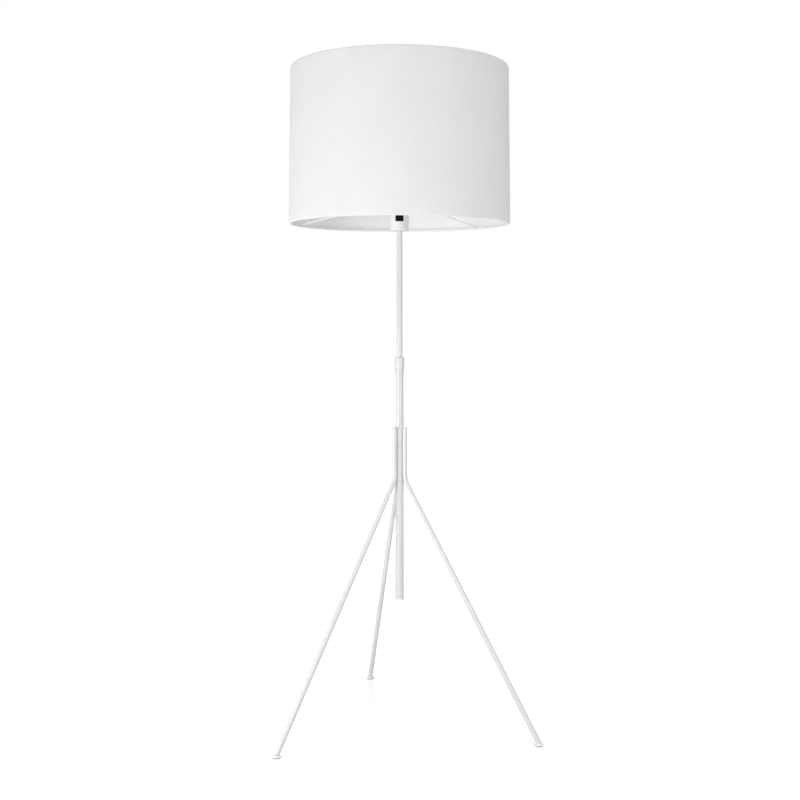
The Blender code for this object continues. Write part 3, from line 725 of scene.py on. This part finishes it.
def make_ring_nuts():
    """Two ribbed ring nuts, rounded, with a plain flange against the washer."""
    bore = span("lampholder_shell").radius + TOUCH_GAP
    for name, node_name, flange_up in (
        ("ring_nut_lower", "shade_nut_lower", True),
        ("ring_nut_upper", "shade_nut_upper", False),
    ):
        nut = span(node_name)
        flange = 0.0012
        ribs_low = nut.low + (0.0006 if flange_up else flange)
        ribs_high = nut.high - (flange if flange_up else 0.0006)
        corners = [
            (bore, nut.high, 0.0003),
            (nut.radius, nut.high, 0.0004),
            (nut.radius, ribs_high, 0),
            (nut.radius, ribs_high - 0.0002, 0),
            (nut.radius, ribs_low + 0.0002, 0),
            (nut.radius, ribs_low, 0),
            (nut.radius, nut.low, 0.0004),
            (bore, nut.low, 0.0003),
        ]

        def ribbed(angle, radius, z, low=ribs_low, high=ribs_high, outer=nut.radius):
            if radius < outer - 0.0001 or not low < z < high:
                return radius
            return radius - 0.0009 * (0.5 + 0.5 * cos(42 * angle)) ** 2

        add_turned(name, filleted(corners), "head", "white_plastic", node_name, 336, ribbed)


# ------------------------ the lampholder
def wave_thread(pitch, depth, low, high, run_out):
    """A radius change for turned(): a round thread between two heights."""

    def shape(angle, radius, z):
        fade = min(1.0, max(0.0, (z - low) / run_out), max(0.0, (high - z) / run_out))
        turn = 2 * pi * z / pitch - angle
        return radius - depth * fade * (0.5 - 0.5 * cos(turn))

    return shape


def make_cup():
    """The lampholder's cup, with the window for its rocker."""
    base = span("lampholder_base")
    rocker = span("switch_rocker")
    inner = base.radius - HOLDER_WALL
    hole = span("upper_tube").radius - UPPER_WALL
    floor = base.low + HOLDER_FLOOR
    window_low = rocker.low - ROCKER_MARGIN
    window_high = rocker.high + ROCKER_MARGIN
    corners = [
        (base.radius, base.high, 0.0003),
        (base.radius, window_high + WINDOW_BAND, 0),
        (base.radius, window_low - WINDOW_BAND, 0),
        (base.radius, base.low, 0.0020),
        (hole, base.low, 0.0003),
        (hole, floor, 0.0002),
        (inner, floor, 0.0008),
        (inner, window_low - WINDOW_BAND, 0),
        (inner, window_high + WINDOW_BAND, 0),
        (inner, base.high, 0.0003),
    ]
    profile = filleted(corners, 6)
    cup = add_turned("holder_cup", profile, "head", "white_plastic", "lampholder_base", 120)
    half = WINDOW_WIDTH / 2
    front = -base.radius - 0.002
    back = -base.radius + 0.0068
    middle_z = (window_low + window_high) / 2
    half_height = (window_high - window_low) / 2
    corner = 0.0007
    box = [(-half, -half_height), (half, -half_height), (half, half_height), (-half, half_height)]
    outline = filleted([(x, z, corner) for x, z in box])
    window = prism("window", outline, -back, -front)
    for vertex in window.vertices:
        x, z, depth = vertex.co
        vertex.co = (x, -depth, z + middle_z)
    cup_at = cup.location.copy()
    cup.location = (0, 0, 0)
    bpy.context.view_layer.update()
    cut_out(cup, window)
    cup.location = cup_at


def make_shell():
    """The lampholder's upper half, with a thread outside for the ring nuts."""
    shell = span("lampholder_shell")
    inner = span("lampholder_base").radius - HOLDER_WALL
    thread_low = shell.low + 0.0075
    thread_high = shell.high - 0.0025
    outer = [(shell.radius, z) for z in stops(thread_low, thread_high, SHELL_PITCH / 10)]
    lip = inner - 0.0014
    rest = [
        (inner, shell.high - 0.0016),
        (lip, shell.high - 0.0016),
        (lip, shell.high),
        (shell.radius - 0.0010, shell.high),
        (shell.radius - 0.0003, shell.high - 0.0003),
        (shell.radius, shell.high - 0.0010),
    ]
    profile = [(shell.radius, shell.low + 0.0003), (shell.radius - 0.0003, shell.low)]
    profile += [(inner + 0.0003, shell.low), (inner, shell.low + 0.0003)] + rest
    profile += outer[::-1]
    shape = wave_thread(SHELL_PITCH, SHELL_THREAD_DEPTH, thread_low, thread_high, 0.0012)

    def outside_only(angle, radius, z):
        return shape(angle, radius, z) if radius > shell.radius - 0.0001 else radius

    name = "holder_shell"
    add_turned(name, profile, "head", "white_plastic", "lampholder_shell", shape=outside_only)


def make_rocker():
    """The rocker: a hollow face between two rounded ends, on its upright pin."""
    rocker = span("switch_rocker")
    pin = span("switch_pin")
    holder = span("lampholder_base").radius
    pivot_y = pin.y - POLE.y
    front = -(holder + pivot_y)
    half = ROCKER_HALF_WIDTH
    shoulder = front + 0.0007
    face = []
    for share in stops(-1, 1, 1 / 8):
        face.append((half * share * 0.94, front + ROCKER_HOLLOW * (1 - abs(share) ** 1.6)))
    outline = [(-half, shoulder)] + face + [(half, shoulder)]
    outline += [(0.0060, -0.0018), (0.0024, 0.0022), (-0.0024, 0.0022), (-0.0060, -0.0018)]
    hole = circle(pin.radius + TOUCH_GAP, 24)
    mesh = prism("rocker", outline, rocker.low, rocker.high, hole, 0.00035)
    at = (pin.x, pin.y, 0)
    turn = radians(ROCKER_LEAN)
    add("rocker", mesh, "rocker", "black_plastic", ["switch_rocker"], at=at, turn=turn)


def make_socket():
    """The porcelain cup and the threaded brass sleeve in it."""
    core = span("socket_core")
    sleeve = span("thread_sleeve")
    bore = core.radius - 0.0012
    floor = core.low + 0.0030
    corners = [
        (0.0, floor, 0),
        (bore, floor, 0.0005),
        (bore, core.high, 0.0004),
        (core.radius, core.high, 0.0004),
        (core.radius, core.low, 0.0008),
        (0.0, core.low, 0),
    ]
    add_turned("socket_cup", filleted(corners), "head", "porcelain", "socket_core", 72)
    inner = sleeve.radius - 0.0004
    heights = stops(sleeve.low, sleeve.high, E27_PITCH / 14)
    profile = [(sleeve.radius, z) for z in heights] + [(inner, z) for z in reversed(heights)]
    shape = wave_thread(E27_PITCH, 0.0003, sleeve.low, sleeve.high, 0.0015)
    add_turned("screw_sleeve", profile, "head", "brass", "thread_sleeve", 72, shape)


# ------------------------ the bulb
def make_bulb_end():
    """The bulb's contact, its glass-bead insulator and its rolled screw cap."""
    contact = span("bulb_contact")
    pip = [
        (0.0, contact.low, 0),
        (0.0030, contact.low, 0.0008),
        (contact.radius, contact.high, 0),
        (0.0, contact.high, 0),
    ]
    add_turned("bulb_pip", filleted(pip, 6), "bulb_lift", "brass", "bulb_contact", 48)

    insulator = span("bulb_insulator")
    cone = [
        (0.0, insulator.low, 0),
        (0.0048, insulator.low, 0.0006),
        (insulator.radius, insulator.high - 0.0020, 0.0008),
        (insulator.radius, insulator.high, 0),
        (0.0, insulator.high, 0),
    ]
    add_turned("bulb_bead", filleted(cone, 5), "bulb", "black_plastic", "bulb_insulator", 64)

    cap = span("bulb_cap")
    wall = 0.0004
    thread_high = cap.high - 0.0040
    heights = stops(cap.low, cap.high, E27_PITCH / 14)
    outer = [(cap.radius, z) for z in heights]
    inner = [(cap.radius - wall, z) for z in reversed(heights)]
    shape = wave_thread(E27_PITCH, THREAD_DEPTH, cap.low - 0.0010, thread_high, 0.0015)
    add_turned("bulb_screw_cap", outer + inner, "bulb", "nickel", "bulb_cap", shape=shape)


def make_bulb_top():
    """The bulb's flared housing, plugged into its cap, and the opal globe on it."""
    cap = span("bulb_cap")
    body = span("bulb_body")
    neck = cap.high + TOUCH_GAP
    neck_radius = 0.0134
    plug = cap.radius - THREAD_DEPTH - 0.0008
    plug_low = cap.high - 0.0060
    corners = [
        (0.0, plug_low, 0),
        (plug, plug_low, 0),
        (plug, neck, 0),
        (neck_radius, neck, 0.0006),
        (neck_radius, neck + 0.0050, 0.0100),
        (neck_radius + 0.0052, neck + 0.0200, 0.0400),
        (body.radius, body.high, 0.0006),
        (0.0, body.high, 0),
    ]
    add_turned("bulb_housing", filleted(corners, 8), "bulb", "white_plastic", "bulb_body")

    globe = span("bulb_globe")
    centre_z = globe.high - globe.radius
    start = -asin((centre_z - globe.low) / globe.radius)
    steps = 28
    angles = [start + (pi / 2 - start) * step / steps for step in range(steps)]
    outside = [(globe.radius * cos(a), centre_z + globe.radius * sin(a)) for a in angles]
    small = globe.radius - GLOBE_WALL
    inside = [(small * cos(a), max(globe.low, centre_z + small * sin(a))) for a in reversed(angles)]
    profile = [(0.0, centre_z + small)] + inside + outside + [(0.0, globe.high)]
    add_turned("bulb_opal", profile, "bulb", "opal_globe", "bulb_globe")


# ------------------------ the pole
def make_pole():
    """The two tubes, the twist collar and the cord's exit bush."""
    upper = span("upper_tube")
    profile = pipe(upper.radius - UPPER_WALL, upper.radius, upper.low, upper.high, 0.0002)
    add_turned("pole_upper", profile, "head", "white_powder_coat", "upper_tube", 80)

    profile = pipe(POLE.radius - LOWER_WALL, POLE.radius, POLE.low, POLE.high, 0.0003)
    add_turned("pole_lower", profile, "base", "white_powder_coat", "lower_tube")

    collar = span("clamp_collar")
    step_z = POLE.high + 0.0035
    lower_bore = POLE.radius + TOUCH_GAP
    upper_bore = upper.radius + 2 * TOUCH_GAP
    corners = [
        (upper_bore, collar.high, 0.0003),
        (collar.radius, collar.high, 0.0012),
        (collar.radius, collar.low, 0.0003),
        (lower_bore, collar.low, 0.0001),
        (lower_bore, step_z, 0),
        (upper_bore, step_z, 0),
    ]
    profile = filleted(corners, 6)
    add_turned("twist_collar", profile, "collar", "white_powder_coat", "clamp_collar")

    bush = span("cord_exit_bush")
    bore = 0.0042
    spigot = POLE.radius - LOWER_WALL - TOUCH_GAP
    flange_top = POLE.low - TOUCH_GAP
    corners = [
        (bore, bush.high, 0.0008),
        (spigot, bush.high, 0.0006),
        (spigot, flange_top, 0),
        (bush.radius, flange_top, 0.0001),
        (bush.radius, bush.low, 0.0003),
        (bore, bush.low, 0.0012),
    ]
    profile = filleted(corners, 6)
    add_turned("exit_bush", profile, "base", "white_plastic", "cord_exit_bush")


# ------------------------ the legs
def leg_path(top, foot_out, cut_z):
    """(x, z, lean, bending) down a leg: upright, round the bend, straight to the foot."""
    bend_top = top - LEG_STRAIGHT
    across = foot_out - LEG_BEND
    down = bend_top - cut_z
    slope = atan2(across, down) + asin(LEG_BEND / hypot(across, down))
    path = [(0.0, z, 0.0, 0.0) for z in stops(top, bend_top, 0.02)[:-1]]
    steps = 24
    for step in range(steps + 1):
        lean = slope * step / steps
        x = LEG_BEND * (1 - cos(lean))
        z = bend_top - LEG_BEND * sin(lean)
        path.append((x, z, lean, sin(pi * step / steps)))
    last_x, last_z = path[-1][:2]
    for share in stops(0, 1, 1 / 20)[1:]:
        x = last_x + (foot_out - last_x) * share
        z = last_z + (cut_z - last_z) * share
        path.append((x, z, slope, 0.0))
    return path


def leg_mesh(name, path, cut_z):
    """A tube along the path, a little oval in the bend, cut level at its lower end."""
    sides = 48
    slope = path[-1][2]
    edge = 0.00025
    flattened = 0.035
    widened = 0.025
    walls = []
    for radius, rounding in ((LEG_RADIUS, 1), (LEG_RADIUS - LEG_WALL, -1)):
        rings = []
        for x, z, lean, bending in path:
            flat = radius * (1 - flattened * bending)
            wide = radius * (1 + widened * bending)
            rings.append(leaning_ring(x, z, lean, flat, wide, sides))
        rings[-1] = [(x + tan(slope) * (z - cut_z), y, cut_z) for x, y, z in rings[-1]]
        top_x, top_z = path[0][:2]
        shy = radius - rounding * edge
        rings[0] = leaning_ring(top_x, top_z - edge, 0.0, radius, radius, sides)
        rings.insert(0, leaning_ring(top_x, top_z, 0.0, shy, shy, sides))
        walls.append(rings)
    return skin(name, walls[0] + walls[1][::-1])


def seam_mesh(name, low, high):
    """A short length of brazing, deep in the crevice between a leg and the pole."""
    out = POLE.radius + TOUCH_GAP + LEG_RADIUS
    taper = 0.004
    rings = []
    for z in stops(low, high, taper):
        full = min(1.0, (z - low) / taper, (high - z) / taper)
        uneven = 1 + 0.12 * sin(z * 1900) + 0.08 * sin(z * 3100 + 1)
        half = (0.0002 + 0.0004 * full) * uneven
        pole_side = []
        leg_side = []
        for share in stops(-1, 1, 1 / 3):
            y = half * share
            pole_side.append((sqrt(POLE.radius**2 - y * y) - 0.0001, y, z))
            leg_side.append((out - sqrt(LEG_RADIUS**2 - y * y) + 0.0001, y, z))
        rings.append(pole_side + leg_side[::-1])
    for at_end, ring in ((0, rings[0]), (len(rings) + 1, rings[-1])):
        middle = [sum(point[axis] for point in ring) / len(ring) for axis in range(3)]
        rings.insert(at_end, [tuple(middle)])
    return skin(name, rings, 60)


def foot_meshes(radius, low, high, pad_span):
    """The glide, a low bell with a thin flat rim, and the black rubber pad under it, whose black
    also paints the contact shadow where the foot meets the floor.
    """
    rim_high = low + FOOT_EDGE
    corners = [
        (0.0, high, 0),
        (LEG_RADIUS + 0.0006, high, 0.0003),
        (LEG_RADIUS + 0.0008, rim_high, 0.0016),
        (radius, rim_high, 0.0004),
        (radius, low, 0.0003),
        (0.0, low, 0),
    ]
    glide = turned("foot_cap", filleted(corners, 5), 64)
    corners = [
        (0.0, pad_span.high, 0),
        (pad_span.radius, pad_span.high, 0.0001),
        (pad_span.radius, pad_span.low, 0.0003),
        (0.0, pad_span.low, 0),
    ]
    pad = turned("foot_sole_and_shadow", filleted(corners, 4), 64)
    return glide, pad


def make_legs():
    """Each leg's tube, its two seams, its end plug and its foot."""
    milky = foot_plastic()
    for side in ("left", "right", "rear"):
        pad_span = span(f"foot_pad_{side}")
        cap_span = span(f"leg_cap_{side}")
        glide_low, glide_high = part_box(f"foot_glide_{side}")
        leg_low, leg_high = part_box(f"leg_{side}")
        upright = Vector((cap_span.x, cap_span.y, 0))
        foot_at = Vector((pad_span.x, pad_span.y, 0))
        away = foot_at - upright
        cut_z = leg_low.z
        path = leg_path(leg_high.z, away.length, cut_z)
        name = f"leg_tube_{side}"
        mesh = leg_mesh(name, path, cut_z)
        turn = atan2(away.y, away.x)
        add(name, mesh, "base", "white_powder_coat", [f"leg_{side}"], at=upright, turn=turn)

        upper_seam = leg_high.z - SEAM_FROM_END - SEAM_LENGTH
        lower_seam = leg_high.z - LEG_STRAIGHT + SEAM_FROM_BEND
        seams = [seam_mesh("seam", low, low + SEAM_LENGTH) for low in (upper_seam, lower_seam)]
        turn = atan2(upright.y - POLE.y, upright.x - POLE.x)
        name = f"leg_seams_{side}"
        add(name, joined(name, seams), "base", "white_powder_coat", turn=turn)

        stem = LEG_RADIUS - LEG_WALL - TOUCH_GAP
        dome_low = leg_high.z + TOUCH_GAP
        rise = cap_span.high - dome_low
        dome = []
        for step in range(1, 10):
            angle = pi / 2 * step / 9
            dome.append((LEG_RADIUS * cos(angle), dome_low + rise * sin(angle)))
        profile = [(0.0, cap_span.low), (stem, cap_span.low), (stem, dome_low)]
        profile += [(LEG_RADIUS - 0.0002, dome_low), (LEG_RADIUS, dome_low + 0.0002)] + dome
        name = f"leg_plug_{side}"
        add_turned(name, profile, "base", "white_plastic", f"leg_cap_{side}", 48, at=upright)

        foot_radius = (glide_high.x - glide_low.x) / 2
        glide, pad = foot_meshes(foot_radius, glide_low.z, cut_z - TOUCH_GAP, pad_span)
        stands_for = [f"foot_glide_{side}"]
        add(f"foot_cap_{side}", glide, "base", "white_plastic", stands_for, at=foot_at, look=milky)
        # the pad's black is real rubber and also paints the dark contact shadow under the foot
        add(f"foot_sole_and_shadow_{side}", pad, "base", "foot_rubber", [f"foot_pad_{side}"], at=foot_at)


# ------------------------ CAD nodes that stay as they are
KEPT_NODES = {
    "entry_nipple": "zinc_steel",
    "lock_nut": "zinc_steel",
    "switch_pin": "zinc_steel",
    "switch_carrier": "black_plastic",
    "terminal_block": "porcelain",
    "terminal_screw_left": "zinc_steel",
    "terminal_screw_right": "zinc_steel",
    "centre_contact": "brass",
    "guide_bush": "white_plastic",
    "clamp_collet": "white_plastic",
}


def finish_kept_nodes():
    """Gives the CAD nodes that stay in view their slots' finishes."""
    for name, slot in KEPT_NODES.items():
        for material_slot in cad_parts[name].material_slots:
            material_slot.material = FINISHES[slot]


# ------------------------ floor and light
LIFT_NEAR = 0.21  # what the floor gives the eye over the light it throws back
LIFT_FAR = 0.275  # the same, behind the lamp
LIFT_EDGE = 0.35  # what is added to both towards the floor's far edge
LIFT_ASIDE = 0.28  # and beside and before the lamp
BACK_FROM, BACK_TO = -0.1, 0.6  # the lift goes from near to far between these y
EDGE_FROM, EDGE_TO = 0.9, 3.0  # distances from the middle
ASIDE_FROM, ASIDE_TO = 0.5, 1.2  # distances from the line straight back from the middle
OVERHEAD = 0.97  # the sky's strength over the softboxes
AROUND = 0.01  # and down at the sides
BEHIND = 0.80  # and low down behind the lamp
FLOOR_RADIUS = 14
AIM_HEIGHT = 1.05  # of the point on the pole that the softboxes face
SOFTBOXES = {  # place from the pole's foot, size, and power in watts
    "key_softbox": ((-1.45, -1.25, 0.60), (0.7, 0.9), 11.0),
    "side_softbox": ((-1.85, -0.50, 0.60), (0.7, 0.9), 6.8),
    "low_softbox": ((-1.00, -1.50, 0.20), (0.5, 0.3), 2.5),
    "front_softbox": ((-0.70, -2.00, 0.40), (0.7, 0.6), 3.2),
    "fill_softbox": ((1.30, -1.60, 1.10), (0.9, 1.2), 13.5),
}


def make_floor():
    """A wide pale floor that runs into the white around it."""
    made, tree, shader, where = finish("studio_floor", Roughness=0.26, Specular_IOR_Level=1.0)
    cloudy = noise(tree, where, 3, 2)
    colour = mix_colours(tree, cloudy, (0.80, 0.80, 0.80), (0.82, 0.82, 0.82))
    tree.links.new(colour, shader.inputs["Base Color"])
    axes = node(tree, "ShaderNodeSeparateXYZ", {"Vector": where}).outputs
    lift = spread(tree, axes["Y"], LIFT_NEAR, LIFT_FAR, BACK_FROM, BACK_TO)
    away = node(tree, "ShaderNodeVectorMath", {0: where}, operation="LENGTH").outputs["Value"]
    lift = calc(tree, "ADD", lift, spread(tree, away, 0, LIFT_EDGE, EDGE_FROM, EDGE_TO))
    before = calc(tree, "MINIMUM", axes["Y"], 0.0)
    squares = [calc(tree, "MULTIPLY", value, value) for value in (axes["X"], before)]
    aside = calc(tree, "SQRT", calc(tree, "ADD", *squares))
    lift = calc(tree, "ADD", lift, spread(tree, aside, 0, LIFT_ASIDE, ASIDE_FROM, ASIDE_TO))
    seen = node(tree, "ShaderNodeLightPath").outputs["Is Camera Ray"]
    lift = calc(tree, "MULTIPLY", seen, lift)
    shader.inputs["Emission Color"].default_value = (1, 1, 1, 1)
    tree.links.new(lift, shader.inputs["Emission Strength"])
    bm = bmesh.new()
    bmesh.ops.create_circle(bm, cap_ends=True, segments=64, radius=FLOOR_RADIUS)
    mesh = bpy.data.meshes.new("floor")
    bm.to_mesh(mesh)
    bm.free()
    mesh.materials.append(made)
    new_object("floor", mesh)


def make_surroundings():
    """White all round to the eye. As light: bright overhead and behind, dark elsewhere."""
    world = bpy.data.worlds.new("studio")
    world.use_nodes = True
    bpy.context.scene.world = world
    tree = world.node_tree
    tree.nodes.clear()
    direction = node(tree, "ShaderNodeTexCoord").outputs["Generated"]
    axes = node(tree, "ShaderNodeSeparateXYZ", {"Vector": direction}).outputs
    low = spread(tree, axes["Y"], AROUND, BEHIND, 0.6, 0.9)
    high = spread(tree, axes["Z"], 0, OVERHEAD, 0.45, 0.55)
    light = calc(tree, "MAXIMUM", low, high)
    rays = node(tree, "ShaderNodeLightPath").outputs
    straight_back = spread(tree, axes["Y"], 0, 1, 0.80, 0.90)
    mirrored = calc(tree, "MULTIPLY", straight_back, rays["Is Glossy Ray"])
    white = calc(tree, "MAXIMUM", mirrored, rays["Is Camera Ray"])
    strength = calc(tree, "MAXIMUM", light, white)
    inputs = {"Color": (1, 1, 1, 1), "Strength": strength}
    shader = node(tree, "ShaderNodeBackground", inputs)
    output = node(tree, "ShaderNodeOutputWorld")
    tree.links.new(shader.outputs[0], output.inputs["Surface"])


def make_lights():
    """Softboxes in front: four low ones to the left, and one higher up to the right."""
    pole_foot = Vector((POLE.x, POLE.y, 0))
    target = pole_foot + Vector((0, 0, AIM_HEIGHT))
    for name, (offset, size, power) in SOFTBOXES.items():
        light = bpy.data.lights.new(name, "AREA")
        light.shape = "RECTANGLE"
        light.size, light.size_y = size
        light.energy = power
        lamp = new_object(name, light)
        lamp.location = pole_foot + Vector(offset)
        lamp.rotation_euler = (target - lamp.location).to_track_quat("-Z", "Y").to_euler()
        lamp.visible_camera = False


def make_camera():
    """Stands in front of the pole and looks a little down."""
    data = bpy.data.cameras.new("camera")
    data.lens = CAMERA_LENS
    data.sensor_width = 36
    camera = new_object("camera", data)
    camera.location = (POLE.x + CAMERA_SIDE, POLE.y - CAMERA_BACK, CAMERA_HEIGHT)
    camera.rotation_euler = (radians(90 - CAMERA_LOOKS_DOWN), 0, 0)
    bpy.context.scene.camera = camera


make_camera()
make_rim_wires()
make_liner()
make_cloth()
make_spider()
make_ring_nuts()
make_cup()
make_shell()
make_rocker()
make_socket()
make_bulb_end()
make_bulb_top()
make_pole()
make_legs()
finish_kept_nodes()
make_floor()
make_surroundings()
make_lights()
bpy.context.scene.view_settings.view_transform = "Standard"
